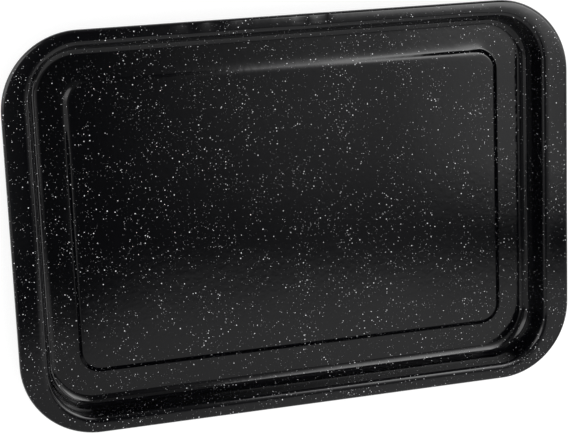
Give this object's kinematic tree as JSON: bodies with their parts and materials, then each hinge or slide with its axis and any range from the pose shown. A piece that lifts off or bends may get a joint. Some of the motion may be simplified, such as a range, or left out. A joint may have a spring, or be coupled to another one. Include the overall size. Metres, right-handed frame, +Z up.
{
  "type": "roasting tray",
  "caption": "Shallow rectangular roasting tray of enamelled steel with a flat rim, rolled edge, steep walls and a raised middle panel.",
  "frame": {"origin": "on the surface the tray stands on, under the middle of the tray", "axes": "+X along the tray's length, +Y across its width, +Z up out of the well"},
  "size_m": [0.38, 0.26, 0.0248],
  "materials": {
    "enamel": "glossy black vitreous enamel with fine white flecks, fired on pressed steel"
  },
  "bodies": {
    "root": {"tray": "enamel"}
  },
  "joints": []
}
